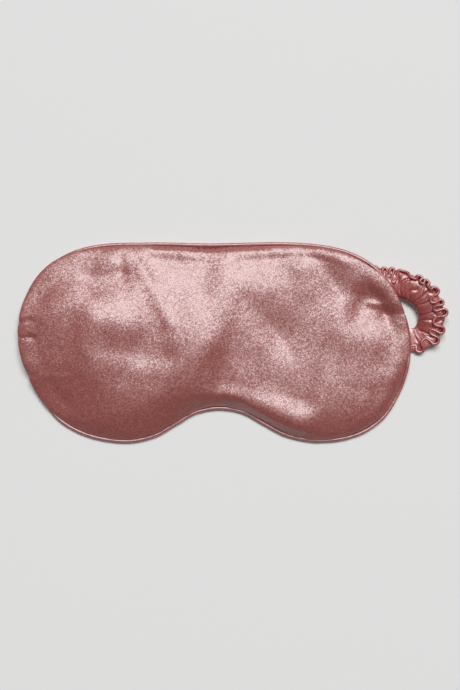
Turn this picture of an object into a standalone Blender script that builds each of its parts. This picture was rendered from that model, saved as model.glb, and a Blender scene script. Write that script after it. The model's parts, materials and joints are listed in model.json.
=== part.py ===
"""Satin sleep eye mask with a gathered elastic strap, lying face up on its own strap.

The face of the mask looks along +Z, its top edge along +Y, and the ground is z = 0. The strap
starts at the two side seams and lies folded under the back of the mask. It swings about the
line through its two sewn ends. All driving sizes are in millimetres, scaled by MM.
"""
import math
from bisect import bisect_right

import bmesh
import bpy
from mathutils import Vector

MM = 0.001
WELD = 0.00001

COLLECTION = "sleep_eye_mask"
GUIDES = "guides"

# The box of the whole object, strap included, is centred on the origin by this shift.
SHIFT = Vector((-9.0, 0.6, 0.0))

# Outline of the mask: right half, from the middle of the top edge to the nose arch.
HALF_OUTLINE = [
    (0.0, 52.4), (28.0, 53.0), (57.0, 52.0), (76.0, 47.2), (91.5, 36.3), (101.0, 20.5),
    (105.0, 2.0), (102.3, -14.5), (96.5, -29.5), (86.5, -42.5), (71.5, -51.0), (52.5, -54.2),
    (36.0, -51.4), (23.5, -45.0), (12.5, -38.9), (0.0, -36.7),
]
HALF_WIDTH = 105.0
HALF_HEIGHT = 54.0
MIDDLE = Vector((0.0, 4.0))  # every point of the outline can be seen from here
SPLINE_STEPS = 12
LEAN = 0.07  # the soft mask lies a little skewed: its top edge is pushed to the left

# Piped edge.
PIPING_RADIUS = 1.3
PIPING_CLOTH = 0.3
PIPING_CLOTH_SIDE = -1.0
PIPING_CORD_RADIUS = 0.6
PIPING_MOUTH = 50.0  # half angle of the slit that takes the seam allowances, in degrees
PIPING_SIDES = 9
PIPING_BOTTOM = 0.1
RING_POINTS = 72

# Height of the soft layers. Depth is the distance in from the outline.
PANEL_CLOTH = 0.5
PANEL_INSET = 3.6
REST_BAND = 8.5  # the back panel lies flat on the ground out to this depth
DISH = 7.4
DISH_RUN = 17.0
RIM_THICKNESS = 2.7
CROWN_THICKNESS = 9.2
CROWN_RUN = 30.0
WADDING_INSET = 6.5
WADDING_GAP = 1.0
LINING_INSET = 6.0
LINING_CLOTH = 0.3
LAYER_GAP = 0.9
CELLS = (24, 14)

# Threads.
THREAD_RADIUS = 0.2
SEAM_INSET = 4.5
SEAM_HEIGHT = 1.5
CLOSING_FROM = -32.0
CLOSING_TO = 21.0
CLOSING_PITCH = 3.0
CLOSING_INSET = 3.0
CLOSING_HEIGHT = 2.7
CLOSING_SWAY = 0.15
TACK_STITCHES = 8
TACK_WIDTH = 2.2
TACK_START = 0.2  # distance in from the sewn end to the first stitch, in stitch widths
TACK_SPAN = 0.8  # share of the strap's end that the stitches take
TACK_HEIGHT = 0.3

# Strap: its centre line from the right seam round and under the mask to the left seam.
STRAP_ROUTE = [
    (104.0, 0.0), (108.0, 0.4), (112.6, 3.2), (115.4, 9.0), (115.4, 16.5), (111.6, 23.6),
    (104.5, 28.6), (95.0, 31.8), (84.0, 32.8), (68.0, 31.0), (45.0, 25.5), (15.0, 18.0),
    (-20.0, 11.2), (-55.0, 5.2), (-85.0, 1.2), (-104.0, 0.0),
]
STRAP_STEPS = 4
STRAP_HALF_WIDTH = 7.4
STRAP_HALF_HEIGHT = 2.6
STRAP_END_HALF_WIDTH = 6.8
STRAP_END_HALF_HEIGHT = 0.6
STRAP_TAPER = 30.0
STRAP_SIDES = 12
STRAP_CLOTH = 0.35
STRAP_END_HEIGHT = 1.35
STRAP_GROUND = 0.1
ELASTIC_HALF_WIDTH = 3.0
ELASTIC_HALF_HEIGHT = 0.4
ELASTIC_END_HALF_HEIGHT = 0.1
CASING_SEAM_OFFSET = 4.6
HINGE = Vector((0.0, -STRAP_END_HALF_WIDTH, STRAP_END_HEIGHT))

# The rim is lifted where the strap passes under it.
LIFT_GAP = 0.7
LIFT_FLAT = 9.5
LIFT_FADE = 22.0
LIFT_BLEND = 5.0

# Materials: name, colour and roughness.
SATIN = ("satin_rose", (0.45, 0.21, 0.20, 1.0), 0.32)
SATIN_DEEP = ("satin_rose_deep", (0.34, 0.14, 0.135, 1.0), 0.36)
WADDING = ("wadding_white", (0.86, 0.85, 0.82, 1.0), 0.95)
LINING = ("lining_black", (0.02, 0.02, 0.022, 1.0), 0.85)
CORD = ("piping_cotton", (0.80, 0.78, 0.74, 1.0), 0.9)
THREAD = ("thread_rose", (0.42, 0.20, 0.19, 1.0), 0.55)
ELASTIC = ("elastic_white", (0.78, 0.76, 0.74, 1.0), 0.8)


def ease(t):
    """Smooth step from 0 to 1, held at both ends."""
    t = min(max(t, 0.0), 1.0)
    return t * t * (3.0 - 2.0 * t)


def spline(points, steps, closed):
    """Catmull-Rom curve through the points, with steps stretches between each two."""
    count = len(points)
    spans = count if closed else count - 1
    out = []
    for i in range(spans):
        p0 = points[i - 1] if closed or i > 0 else 2 * points[0] - points[1]
        p1 = points[i]
        p2 = points[(i + 1) % count]
        after = points[(i + 2) % count] if closed or i + 2 < count else 2 * p2 - p1
        for k in range(steps):
            t = k / steps
            out.append(0.5 * (2 * p1 + (p2 - p0) * t + (2 * p0 - 5 * p1 + 4 * p2 - after) * t * t
                              + (3 * p1 - p0 - 3 * p2 + after) * t ** 3))
    if not closed:
        out.append(points[-1].copy())
    return out


def even_points(line, count, closed):
    """The same line, resampled at equal distances."""
    ends = line + [line[0]] if closed else line
    reach = [0.0]
    for a, b in zip(ends, ends[1:]):
        reach.append(reach[-1] + (b - a).length)
    spans = count if closed else count - 1
    out = []
    for k in range(count):
        goal = reach[-1] * k / spans
        i = min(bisect_right(reach, goal) - 1, len(ends) - 2)
        step = reach[i + 1] - reach[i]
        out.append(ends[i].lerp(ends[i + 1], (goal - reach[i]) / step if step else 0.0))
    return out


def mask_outline():
    """Dense closed outline of the mask, clockwise from the top middle."""
    right = [Vector(p) for p in HALF_OUTLINE]
    left = [Vector((-x, y)) for x, y in HALF_OUTLINE[-2:0:-1]]
    return [Vector((p.x - LEAN * p.y, p.y)) for p in spline(right + left, SPLINE_STEPS, True)]


def inset(loop, distance):
    """The clockwise loop moved inwards by a distance."""
    out = []
    for i, point in enumerate(loop):
        along = (loop[(i + 1) % len(loop)] - loop[i - 1]).normalized()
        out.append(point + Vector((along.y, -along.x)) * distance)
    return out


class Disc:
    """Maps the unit disc onto the inside of a loop, along rays from MIDDLE."""

    def __init__(self, loop):
        rays = sorted((math.atan2(*reversed(p - MIDDLE)), (p - MIDDLE).length) for p in loop)
        first, last = rays[0], rays[-1]
        turn = 2 * math.pi
        rays = [(last[0] - turn, last[1])] + rays + [(first[0] + turn, first[1])]
        self.angles = [a for a, _ in rays]
        self.radii = [r for _, r in rays]

    def radius(self, angle):
        i = min(bisect_right(self.angles, angle) - 1, len(self.angles) - 2)
        t = (angle - self.angles[i]) / (self.angles[i + 1] - self.angles[i])
        return self.radii[i] + (self.radii[i + 1] - self.radii[i]) * t

    def place(self, a, b):
        """Point inside the loop for a point of the unit disc."""
        x, y = a * HALF_WIDTH, b * HALF_HEIGHT
        angle = math.atan2(y, x)
        return MIDDLE + Vector((math.cos(angle), math.sin(angle))) * self.radius(angle) * math.hypot(a, b)


OUTLINE = mask_outline()
RIM = Disc(OUTLINE)
PANEL_DISC = Disc(inset(OUTLINE, PANEL_INSET))


def depth(x, y):
    """Distance in from the outline, measured along the ray from MIDDLE."""
    ray = Vector((x, y)) - MIDDLE
    return RIM.radius(math.atan2(ray.y, ray.x)) - ray.length


def strap_stations():
    """Centre, sideways direction and fullness, from 0 at a sewn end to 1, along the strap."""
    route = spline([Vector(p) for p in STRAP_ROUTE], STRAP_STEPS, False)
    reach = [0.0]
    for a, b in zip(route, route[1:]):
        reach.append(reach[-1] + (b - a).length)
    stations = []
    for i, point in enumerate(route):
        along = (route[min(i + 1, len(route) - 1)] - route[max(i - 1, 0)]).normalized()
        full = ease(min(reach[i], reach[-1] - reach[i]) / STRAP_TAPER)
        stations.append((point, Vector((along.y, -along.x)), full))
    return stations


def strap_height(full):
    """Height of the strap's centre line, and half its thickness, at a fullness."""
    half = STRAP_END_HALF_HEIGHT + (STRAP_HALF_HEIGHT - STRAP_END_HALF_HEIGHT) * full
    return STRAP_END_HEIGHT + (STRAP_GROUND + STRAP_HALF_HEIGHT - STRAP_END_HEIGHT) * full, half


STATIONS = strap_stations()


def rim_lift(x, y):
    """How far the strap lifts the rim: near stations count most, so that the height is smooth."""
    spot = Vector((x, y))
    gaps = [(point - spot).length for point, _, _ in STATIONS]
    nearest = min(gaps)
    shares = [math.exp((nearest - gap) / LIFT_BLEND) for gap in gaps]
    tops = [sum(strap_height(full)) for _, _, full in STATIONS]
    top = sum(share * height for share, height in zip(shares, tops)) / sum(shares)
    return (top + LIFT_GAP) * (1.0 - ease((nearest - LIFT_FLAT) / LIFT_FADE))


def underside(x, y):
    """Height of the outer face of the back panel, a shallow dish over the strap."""
    lift = rim_lift(x, y)
    return lift + (DISH - lift) * ease((depth(x, y) - REST_BAND) / DISH_RUN)


def topside(x, y):
    """Height of the outer face of the front panel."""
    inwards = min(max(depth(x, y) / CROWN_RUN, 0.0), 1.0)
    swell = math.sqrt(1.0 - (1.0 - inwards) ** 2)
    return underside(x, y) + RIM_THICKNESS + (CROWN_THICKNESS - RIM_THICKNESS) * swell


def material(name, colour, roughness):
    """Material of that name, made once."""
    made = bpy.data.materials.get(name) or bpy.data.materials.new(name)
    made.use_nodes = True
    shader = made.node_tree.nodes["Principled BSDF"]
    shader.inputs["Base Color"].default_value = colour
    shader.inputs["Roughness"].default_value = roughness
    shader.inputs["Metallic"].default_value = 0.0
    made.diffuse_color = colour
    return made


def add_object(name, mesh, parent, look):
    """Links a mesh to the collection under its parent, placed so that parent's move is undone."""
    piece = bpy.data.objects.new(name, mesh)
    bpy.data.collections[COLLECTION].objects.link(piece)
    piece.data.materials.append(material(*look))
    piece.parent = parent
    piece.location = -parent.location
    return piece


def world(x, y, z):
    """Point in metres from a point in millimetres beside the middle of the mask."""
    return (Vector((x, y, z)) + SHIFT) * MM


def disc_grid(loop):
    """Open quad mesh over the inside of a loop: a grid squeezed into the panels' disc.

    Only its edge points lie on the loop, so that the layers have their facets over each other.
    """
    made = bmesh.new()
    bmesh.ops.create_grid(made, x_segments=CELLS[0], y_segments=CELLS[1], size=1.0)
    edge_disc = Disc(loop)
    for vert in made.verts:
        u, v = vert.co.x, vert.co.y
        disc = edge_disc if vert.is_boundary else PANEL_DISC
        spot = disc.place(u * math.sqrt(1.0 - v * v / 2), v * math.sqrt(1.0 - u * u / 2))
        vert.co = (spot.x, spot.y, 0.0)
    return made


def layer(name, distance, low, high, parent, look):
    """Closed layer between two height functions of x and y, ending at a distance from the rim."""
    made = disc_grid(inset(OUTLINE, distance))
    lower = list(made.verts)
    raised = bmesh.ops.extrude_face_region(made, geom=list(made.faces))
    upper = [g for g in raised["geom"] if isinstance(g, bmesh.types.BMVert)]
    for verts, height in ((lower, low), (upper, high)):
        for vert in verts:
            x, y = vert.co.x, vert.co.y
            vert.co = world(x, y, height(x, y))
    bmesh.ops.recalc_face_normals(made, faces=list(made.faces))
    mesh = bpy.data.meshes.new(name)
    made.to_mesh(mesh)
    made.free()
    mesh.shade_smooth()
    return add_object(name, mesh, parent, look)


def loft(name, sections, closed_ends, parent, look):
    """Tube through a list of rings of points, with flat ends or open ones."""
    made = bmesh.new()
    rings = [[made.verts.new(world(*p)) for p in ring] for ring in sections]
    sides = len(rings[0])
    for a, b in zip(rings, rings[1:]):
        for i in range(sides):
            j = (i + 1) % sides
            made.faces.new((a[i], a[j], b[j], b[i]))
    if closed_ends:
        made.faces.new(reversed(rings[0]))
        made.faces.new(rings[-1])
    bmesh.ops.recalc_face_normals(made, faces=list(made.faces))
    mesh = bpy.data.meshes.new(name)
    made.to_mesh(mesh)
    made.free()
    mesh.shade_smooth()
    return add_object(name, mesh, parent, look)


def wire_mesh(name, points, radius, closed, sides_level=1, profile=None):
    """Mesh of a bevelled curve through the points, in metres."""
    curve = bpy.data.curves.new(name, "CURVE")
    curve.dimensions = "3D"
    curve.twist_mode = "Z_UP"
    curve.use_fill_caps = not closed
    curve.bevel_resolution = sides_level
    if profile is None:
        curve.bevel_depth = radius * MM
    else:
        curve.bevel_mode = "OBJECT"
        curve.bevel_object = profile
    line = curve.splines.new("POLY")
    line.points.add(len(points) - 1)
    for spot, point in zip(line.points, points):
        spot.co = (*world(*point), 1.0)
    line.use_cyclic_u = closed
    holder = bpy.data.objects.new(name + "_guide", curve)
    bpy.context.scene.collection.objects.link(holder)
    bpy.context.view_layer.update()
    mesh = bpy.data.meshes.new_from_object(holder.evaluated_get(bpy.context.evaluated_depsgraph_get()))
    bpy.data.objects.remove(holder)
    made = bmesh.new()
    made.from_mesh(mesh)
    bmesh.ops.remove_doubles(made, verts=list(made.verts), dist=WELD)
    bmesh.ops.recalc_face_normals(made, faces=list(made.faces))
    made.to_mesh(mesh)
    made.free()
    mesh.name = name
    mesh.shade_smooth()
    return mesh


def rim_line(distance, height, count=RING_POINTS):
    """Points round the rim at a distance in from the outline and a height over its foot."""
    loop = even_points(inset(OUTLINE, distance), count, True)
    return [(p.x, p.y, rim_lift(p.x, p.y) + height) for p in loop]


def piping_profile():
    """Open arc, the section of the piping's cloth: its mouth looks towards the mask."""
    curve = bpy.data.curves.new("piping_profile", "CURVE")
    curve.dimensions = "2D"
    arc = curve.splines.new("POLY")
    arc.points.add(PIPING_SIDES - 1)
    start = math.radians(PIPING_MOUTH)
    sweep = 2 * (math.pi - start)
    for i, point in enumerate(arc.points):
        angle = start + sweep * i / (PIPING_SIDES - 1)
        point.co = (math.cos(angle) * PIPING_RADIUS * MM, math.sin(angle) * PIPING_RADIUS * MM, 0, 1)
    profile = bpy.data.objects.new("piping_profile", curve)
    bpy.data.collections[GUIDES].objects.link(profile)
    profile.hide_render = True
    profile.display_type = "WIRE"
    return profile


def make_piping(parent):
    height = PIPING_BOTTOM + PIPING_RADIUS
    line = rim_line(PIPING_RADIUS, height)
    cover_mesh = wire_mesh("piping_cover", line, 0, True, profile=piping_profile())
    cover = add_object("piping_cover", cover_mesh, parent, SATIN)
    cloth = cover.modifiers.new("cloth", "SOLIDIFY")
    cloth.thickness = PIPING_CLOTH * MM
    cloth.offset = PIPING_CLOTH_SIDE
    add_object("piping_cord", wire_mesh("piping_cord", line, PIPING_CORD_RADIUS, True), parent, CORD)


def make_layers(parent):
    layer("back_panel", PANEL_INSET, underside,
          lambda x, y: underside(x, y) + PANEL_CLOTH, parent, SATIN_DEEP)
    layer("front_panel", PANEL_INSET,
          lambda x, y: topside(x, y) - PANEL_CLOTH, topside, parent, SATIN)
    floor = PANEL_CLOTH + LAYER_GAP
    layer("blackout_lining", LINING_INSET,
          lambda x, y: underside(x, y) + floor,
          lambda x, y: underside(x, y) + floor + LINING_CLOTH, parent, LINING)
    bed = floor + LINING_CLOTH + WADDING_GAP
    layer("wadding_pad", WADDING_INSET,
          lambda x, y: underside(x, y) + bed,
          lambda x, y: topside(x, y) - PANEL_CLOTH - WADDING_GAP, parent, WADDING)


def make_edge_threads(parent):
    seam = rim_line(SEAM_INSET, SEAM_HEIGHT)
    add_object("seam_thread", wire_mesh("seam_thread", seam, THREAD_RADIUS, True), parent, THREAD)
    count = round((CLOSING_TO - CLOSING_FROM) / CLOSING_PITCH) * 2
    loop = [p for p in inset(OUTLINE, CLOSING_INSET) if p.y > 0]
    loop.sort(key=lambda p: p.x)
    across = [p.x for p in loop]
    points = []
    for k in range(count + 1):
        x = CLOSING_FROM + (CLOSING_TO - CLOSING_FROM) * k / count
        i = bisect_right(across, x)
        y = loop[i - 1].lerp(loop[i], (x - across[i - 1]) / (across[i] - across[i - 1])).y
        points.append((x, y, CLOSING_HEIGHT + (CLOSING_SWAY if k % 2 else -CLOSING_SWAY)))
    add_object("closing_stitch", wire_mesh("closing_stitch", points, THREAD_RADIUS, False), parent, THREAD)


def oval(station):
    """Section of the casing: an oval lying flat."""
    point, side, full = station
    middle, half_height = strap_height(full)
    half_width = STRAP_END_HALF_WIDTH + (STRAP_HALF_WIDTH - STRAP_END_HALF_WIDTH) * full
    ring = []
    for i in range(STRAP_SIDES):
        angle = 2 * math.pi * (i + 0.5) / STRAP_SIDES
        spot = point + side * half_width * math.cos(angle)
        ring.append((spot.x, spot.y, middle + half_height * math.sin(angle)))
    return ring


def band(station):
    """Section of the flat elastic inside the casing."""
    point, side, full = station
    middle, _ = strap_height(full)
    half_height = ELASTIC_END_HALF_HEIGHT + (ELASTIC_HALF_HEIGHT - ELASTIC_END_HALF_HEIGHT) * full
    corners = []
    for across, up in ((-1, -1), (1, -1), (1, 1), (-1, 1)):
        spot = point + side * ELASTIC_HALF_WIDTH * across
        corners.append((spot.x, spot.y, middle + half_height * up))
    return corners


def make_strap(parent):
    casing = loft("strap_casing", [oval(s) for s in STATIONS], False, parent, SATIN)
    cloth = casing.modifiers.new("cloth", "SOLIDIFY")
    cloth.thickness = STRAP_CLOTH * MM
    cloth.offset = -1.0
    loft("strap_elastic", [band(s) for s in STATIONS[1:-1]], True, parent, ELASTIC)
    line = []
    for point, side, full in STATIONS[2:-2]:
        spot = point + side * CASING_SEAM_OFFSET
        line.append((spot.x, spot.y, strap_height(full)[0]))
    seam = wire_mesh("casing_seam_thread", line, THREAD_RADIUS / 2, False)
    add_object("casing_seam_thread", seam, parent, THREAD)
    for name, end in (("bartack_right", STATIONS[0][0]), ("bartack_left", STATIONS[-1][0])):
        inwards = -1.0 if end.x > 0 else 1.0
        points = []
        for k in range(TACK_STITCHES * 2 + 1):
            y = end.y + STRAP_END_HALF_WIDTH * TACK_SPAN * (k / TACK_STITCHES - 1.0)
            x = end.x + inwards * TACK_WIDTH * (TACK_START + k % 2)
            points.append((x, y, TACK_HEIGHT))
        add_object(name, wire_mesh(name, points, THREAD_RADIUS / 2, False), parent, THREAD)


def add_pivot(name, spot):
    pivot = bpy.data.objects.new(name, None)
    pivot.location = spot
    bpy.data.collections[COLLECTION].objects.link(pivot)
    return pivot


def main():
    for old in list(bpy.data.objects):
        bpy.data.objects.remove(old)
    for name in (COLLECTION, GUIDES):
        bpy.context.scene.collection.children.link(bpy.data.collections.new(name))
    mask = add_pivot("mask_middle", Vector((0.0, 0.0, 0.0)))
    strap = add_pivot("strap_pivot", world(*HINGE))
    make_piping(mask)
    make_layers(mask)
    make_edge_threads(mask)
    make_strap(strap)


main()
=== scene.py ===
"""Looks of the satin sleep eye mask: cloth panels, piped edge, stitches and gathered strap.

Shapes are worked out in millimetres beside the middle of the mask and placed in the CAD frame by
row(). The outline, the strap's route and sizes and the places of the stitches repeat the CAD's
driving dimensions. The heights of the panels and the fillings are this script's own.
"""
import json
import math

import bmesh
import bpy
import numpy as np
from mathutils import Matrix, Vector, noise

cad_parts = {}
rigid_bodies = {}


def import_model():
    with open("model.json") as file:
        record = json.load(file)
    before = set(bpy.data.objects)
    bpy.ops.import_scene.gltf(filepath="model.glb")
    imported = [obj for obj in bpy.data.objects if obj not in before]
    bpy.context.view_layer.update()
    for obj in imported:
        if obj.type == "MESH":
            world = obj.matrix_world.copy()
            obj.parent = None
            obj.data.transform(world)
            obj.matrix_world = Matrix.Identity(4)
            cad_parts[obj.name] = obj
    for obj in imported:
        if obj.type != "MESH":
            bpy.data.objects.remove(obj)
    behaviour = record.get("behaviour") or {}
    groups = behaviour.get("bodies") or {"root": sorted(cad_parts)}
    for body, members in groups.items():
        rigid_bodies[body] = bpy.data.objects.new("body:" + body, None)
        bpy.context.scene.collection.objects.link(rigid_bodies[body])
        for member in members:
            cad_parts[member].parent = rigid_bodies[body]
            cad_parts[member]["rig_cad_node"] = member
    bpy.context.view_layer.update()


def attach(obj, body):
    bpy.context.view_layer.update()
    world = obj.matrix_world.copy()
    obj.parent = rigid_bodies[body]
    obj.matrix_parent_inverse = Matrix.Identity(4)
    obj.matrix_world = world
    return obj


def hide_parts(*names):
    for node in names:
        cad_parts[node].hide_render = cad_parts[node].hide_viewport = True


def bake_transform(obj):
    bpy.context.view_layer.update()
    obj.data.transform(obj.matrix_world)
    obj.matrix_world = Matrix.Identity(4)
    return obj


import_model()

MM = 0.001
SHIFT = (-9.0, 0.6)  # where the middle of the mask lies in the CAD frame

# The CAD's driving dimensions: the outline, from the middle of the top edge to the nose arch.
HALF_OUTLINE = [
    (0.0, 52.4), (28.0, 53.0), (57.0, 52.0), (76.0, 47.2), (91.5, 36.3), (101.0, 20.5),
    (105.0, 2.0), (102.3, -14.5), (96.5, -29.5), (86.5, -42.5), (71.5, -51.0), (52.5, -54.2),
    (36.0, -51.4), (23.5, -45.0), (12.5, -38.9), (0.0, -36.7),
]
HALF_WIDTH = 105.0
HALF_HEIGHT = 54.0
MIDDLE = np.array((0.0, 4.0))
LEAN = 0.07

# The CAD's strap, from the right seam round and under the mask to the left seam.
STRAP_ROUTE = [
    (104.0, 0.0), (108.0, 0.4), (112.6, 3.2), (115.4, 9.0), (115.4, 16.5), (111.6, 23.6),
    (104.5, 28.6), (95.0, 31.8), (84.0, 32.8), (68.0, 31.0), (45.0, 25.5), (15.0, 18.0),
    (-20.0, 11.2), (-55.0, 5.2), (-85.0, 1.2), (-104.0, 0.0),
]
STRAP_HALF_WIDTH = 7.4
STRAP_HALF_HEIGHT = 2.6
STRAP_END_HALF_WIDTH = 6.8
STRAP_END_HALF_HEIGHT = 0.6
STRAP_TAPER = 30.0
STRAP_END_HEIGHT = 1.35
STRAP_GROUND = 0.1
ELASTIC_HALF_WIDTH = 3.0
ELASTIC_HALF_HEIGHT = 0.4
ELASTIC_END_HALF_HEIGHT = 0.1
CASING_SEAM_OFFSET = 4.6

# The CAD's stitches.
CLOSING_FROM = -32.0
CLOSING_TO = 21.0
CLOSING_PITCH = 3.0
TACK_STITCHES = 8
TACK_WIDTH = 2.2
TACK_START = 0.2
TACK_SPAN = 0.8
TACK_HEIGHT = 0.3

# The CAD's lift of the rim where the strap passes under it.
LIFT_GAP = 0.7
LIFT_FLAT = 9.5
LIFT_FADE = 22.0
LIFT_BLEND = 5.0

# Fineness of the lines and grids. COARSE is used where a line needs only a few points.
OUTLINE_STEPS = 24
COARSE = 4
STRAP_STEPS = 30
STRAP_STATIONS = 1500
FRONT_CELLS = (220, 124)
BACK_CELLS = (150, 84)
FILLING_CELLS = (90, 50)
EDGE_CROWDING = 1.3  # above 1, the cells are smaller towards the edge

NOISE_GAIN = 1.6  # brings Blender's noise to between about -1 and 1

# The padding: a membrane blown up from the seam, how fast it reaches its full height, and the
# grid on which it is solved. The dish is the hollow over the eyes, on the side of the face.
PILLOW_HEIGHT = 7.2
PILLOW_REACH = 10.0
PILLOW_CELL = 1.5
PILLOW_ROUNDS = 1400
PILLOW_ACROSS = (-109.0, 109.0)
PILLOW_UP = (-59.0, 58.0)
DOME_HEIGHT = 1.3
DOME_RUN = 36.0
SOFT_DISH = 5.2
DISH_RISE = (0.35, 0.5)
ROUNDING = 0.5
THINNEST = 2.6

# Regions, as where a smooth rise from 0 to 1 starts and how far it runs, in the direction named.
FIRM_RIGHTWARDS, FIRM_DOWNWARDS = (-20.0, 36.0), (5.0, 16.0)
TUCK_LEFTWARDS, TUCK_UPWARDS = (62.0, 26.0), (-44.0, 14.0)
LOOP_RIGHTWARDS, LOOP_UPWARDS, LOOP_DOWNWARDS = (74.0, 14.0), (-14.0, 8.0), (-42.0, 10.0)

# Soft folds of the front panel: from, to, how far each fades above, below and past its ends, height.
RELIEF = [
    # Left half.
    ((-61.0, 9.0), (-50.0, 7.0), 12.0, 28.0, 11.0, 3.2),
    ((-64.0, 32.0), (-50.0, 34.0), 7.0, 9.0, 8.0, -2.6),
    ((-93.0, 25.0), (-66.0, 41.0), 10.0, 7.0, 8.0, -1.4),
    ((-50.0, 45.0), (-49.0, 37.0), 2.5, 2.5, 2.5, -0.5),
    ((-54.0, -3.0), (-26.0, -8.0), 9.0, 7.0, 10.0, -1.1),
    ((-96.0, -10.0), (-80.0, -34.0), 22.0, 8.0, 12.0, -1.0),
    ((-98.0, -19.0), (-76.0, -18.5), 1.6, 1.6, 2.0, 0.2),
    ((-103.0, 10.5), (-98.0, 11.0), 1.3, 1.3, 2.0, -1.3),
    ((-103.0, 2.2), (-97.0, 2.0), 1.3, 1.3, 2.0, -1.5),
    # Middle.
    ((-28.0, 36.0), (-7.0, 36.0), 14.0, 20.0, 13.0, -2.6),
    ((-14.0, 3.0), (-9.0, -2.0), 14.0, 44.0, 9.0, 1.6),
    ((-16.0, -27.0), (12.0, -27.0), 26.0, 8.0, 10.0, 1.3),
    ((-39.0, 40.0), (-24.0, 10.0), 3.5, 3.5, 4.0, 0.7),
    ((16.0, 42.0), (36.0, 37.0), 9.0, 11.0, 8.0, -1.6),
    # Right half.
    ((34.0, 6.0), (63.0, 30.0), 30.0, 17.0, 9.0, -3.6),
    ((81.0, 22.0), (104.0, 14.0), 8.0, 16.0, 8.0, -4.2),
    ((84.0, 20.0), (101.0, 19.5), 1.8, 1.8, 3.0, 0.7),
    ((90.0, 15.5), (103.0, 15.0), 1.8, 3.0, 2.0, -0.8),
    ((98.5, 11.5), (100.0, 11.3), 1.4, 1.4, 1.4, -1.2),
    ((10.0, -30.0), (45.0, -44.0), 10.0, 9.0, 7.0, 1.3),
    ((6.0, -20.5), (46.0, -30.0), 40.0, 9.0, 8.0, -3.4),
    ((66.0, -14.0), (84.0, -16.0), 16.0, 34.0, 12.0, -2.1),
]
FOLD_FADE = 10.0

# The front panel beside its seam. Unevenness is given as height, size of the lumps and seed.
PANEL_INSET = 2.0
PANEL_EDGE_HEIGHT = 1.9
SHOULDER = 0.9
SHOULDER_RUN = 1.3
FIRMNESS = 0.6
BROAD_LUMPS = (0.30, 24.0, 3.1)
SMALL_LUMPS = (0.12, 9.0, 7.7)
RUCKS = (0.16, 5.0, 1.7)
RUCK_AT, RUCK_RUN = 1.5, 5.0
RUCK_SPREAD = 60.0
PUCKER_HEIGHT = 0.16
PUCKER_SWAY = (2.5, 5.0, 9.0)
PUCKER_START, PUCKER_RUN = 0.8, 3.0
GROOVE_DEPTH = 0.9
GROOVE_AT, GROOVE_RUN = 1.0, 1.6
CLOSING_FADE = 6.0

# How far the front panel bulges past its seam: everywhere, beside the strap, and along the left.
BULGE, BULGE_BY_STRAP, BULGE_LEFT = 0.45, 1.2, 1.9
BULGE_AT, BULGE_RUN = 0.8, 2.4
NICK_DEPTH = 1.5
NICKS = [(9.9, 1.0), (1.9, 1.2), (-17.5, 1.6)]  # height up the left edge, and width

# The back panel and the fillings.
BACK_EDGE = 0.9
BACK_GAP = 0.15
BACK_LUMPS = (0.12, 9.0, 5.5)
BACK_LUMPS_FADE = 8.0
BACK_GROUND = 0.05
BACK_EDGE_RUN = 2.5
LINING_INSET = 6.0
LINING_GAP = 1.1
WADDING_INSET = 7.5
WADDING_TOP_GAP = 1.1
WADDING_LOW_GAP = 1.7
WADDING_THINNEST = 0.4
SATIN_CLOTH = 0.3
LINING_CLOTH = 0.3
CASING_CLOTH = 0.2
INWARDS, OUTWARDS = -1.0, 1.0

# Piping: a thin roll, which lies further in and lower where the front panel hangs over it.
PIPING_SIDES = 24
PIPING_RINGS = 1100
PIPING_ROLL = 1.05
PIPING_TALL = 1.1
PIPING_HEIGHT = 1.3
PIPING_UNDER = 0.5
PIPING_DROP = 0.25
PIPING_UNEVEN = (0.06, 4.0, 2.2)
PIPING_SWAY = (0.2, 26.0, 6.1)
PIPING_GROUND = 0.03

# Strap as seen: the length that shows, how it stands there, how the hidden rest is pressed, and
# how far from its sewn ends the gathers start.
STRAP_SEEN = 52.0
SEEN_MARGIN, SEEN_FADE = 2.0, 12.0
SEEN_START, SEEN_START_RUN = 1.0, 6.0
SEEN_RAISED = 1.6
SEEN_FULLER = 0.6
STRAP_PRESSED = 0.5
STRAP_LEAN = 1.3
SEWN_FLAT, SEWN_RUN = 1.0, 4.5

# The casing's tube: fingers of cloth on its outer side and pleats on its inner side. Waver and
# fine are fields of noise, given as size of the lumps, how fast they change round it, and seed.
STRAP_SIDES = 64
CASING_WAVER = (8.0, 0.9, 4.0)
CASING_FINE = (1.7, 2.4, 9.0)
CASING_SWAY = 1.3
CASING_SLANT = 0.3
CASING_TUCKED = 0.16
CASING_OUTER = (-0.1, 0.5)
CASING_GROUND = 0.12
FINGER_HEIGHT = 1.3
FINGER_SUNK = 0.7
FINGER_SIZE, FINGER_SPREAD = 0.75, 0.5
FINGER_TURN, FINGER_FIRST = 2.4, 1.0
PLEAT_PITCH = 5.6
PLEAT_SWAY = 2.2
PLEAT_WIDTH = 0.28
PLEAT_DEPTH = 0.45
FINE_HEIGHT = 0.12
PUSH_LEAST = 0.2
PUSH_UP = 1.2

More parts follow.
